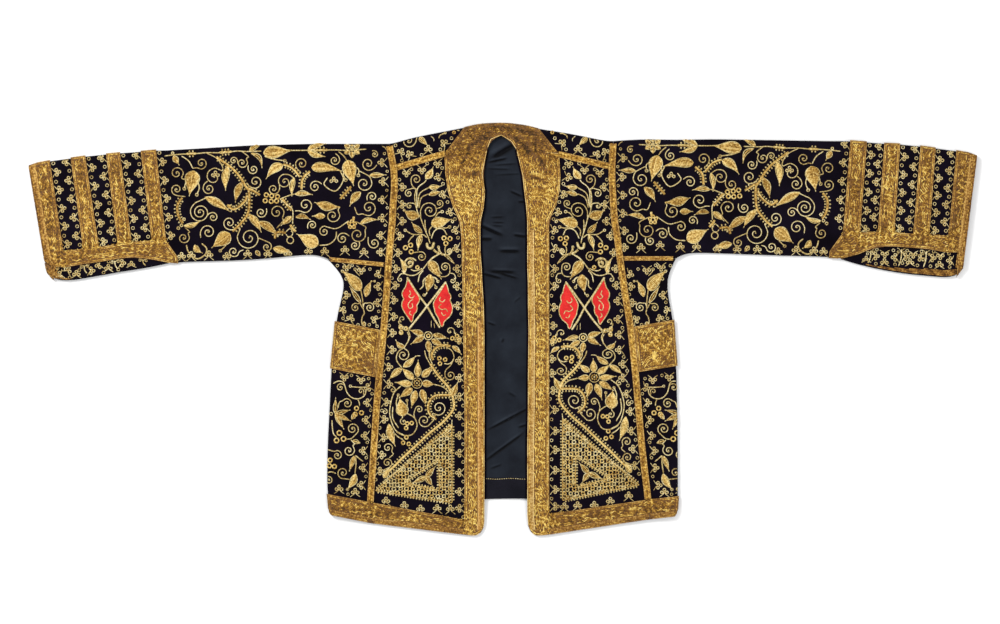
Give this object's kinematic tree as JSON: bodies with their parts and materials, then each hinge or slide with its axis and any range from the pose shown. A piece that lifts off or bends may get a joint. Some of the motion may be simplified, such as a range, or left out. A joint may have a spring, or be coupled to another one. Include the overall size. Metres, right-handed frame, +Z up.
{
  "type": "embroidered jacket",
  "caption": "Open hip-length jacket laid flat with straight sleeves, in near-black cloth with couched gold borders, scrolling gold embroidery and small red flags.",
  "frame": {"origin": "on the table, under the middle of the jacket's length and width", "axes": "+Z up out of the front, +Y towards the collar, +X towards the cuff at the viewer's right"},
  "size_m": [1.4214, 0.6196, 0.0096],
  "materials": {
    "cloth": "near-black woven wool with a faint blue cast, closely embroidered",
    "gold_work": "couched gilt cords, worn to brown at the edges",
    "lining": "dark satin with a soft sheen",
    "facing": "dark matt twill",
    "red_applique": "scarlet felted wool, edged with gold cord"
  },
  "bodies": {
    "root": {"back": "cloth", "back_lining": "lining", "cuff_border_left": "gold_work", "cuff_border_right": "gold_work", "flag_left_inner": "red_applique", "flag_left_outer": "red_applique", "flag_right_inner": "red_applique", "flag_right_outer": "red_applique", "front_border_left": "gold_work", "front_border_right": "gold_work", "front_left": "cloth", "front_right": "cloth", "gusset_border_left": "gold_work", "gusset_border_right": "gold_work", "hem_border_front_left": "gold_work", "hem_border_front_right": "gold_work", "hem_border_side_left": "gold_work", "hem_border_side_right": "gold_work", "hem_facing": "facing", "neck_border": "gold_work", "seam_strip_left": "gold_work", "seam_strip_right": "gold_work", "shoulder_strip_left": "gold_work", "shoulder_strip_right": "gold_work", "side_left": "cloth", "side_right": "cloth", "sleeve_band_left": "gold_work", "sleeve_band_right": "gold_work", "sleeve_gusset_left": "cloth", "sleeve_gusset_right": "cloth", "sleeve_left": "cloth", "sleeve_right": "cloth", "sleeve_stripe_left_1": "gold_work", "sleeve_stripe_left_2": "gold_work", "sleeve_stripe_left_3": "gold_work", "sleeve_stripe_right_1": "gold_work", "sleeve_stripe_right_2": "gold_work", "sleeve_stripe_right_3": "gold_work", "underarm_strip_left": "gold_work", "underarm_strip_right": "gold_work", "waist_band_left": "gold_work", "waist_band_right": "gold_work"}
  },
  "joints": []
}
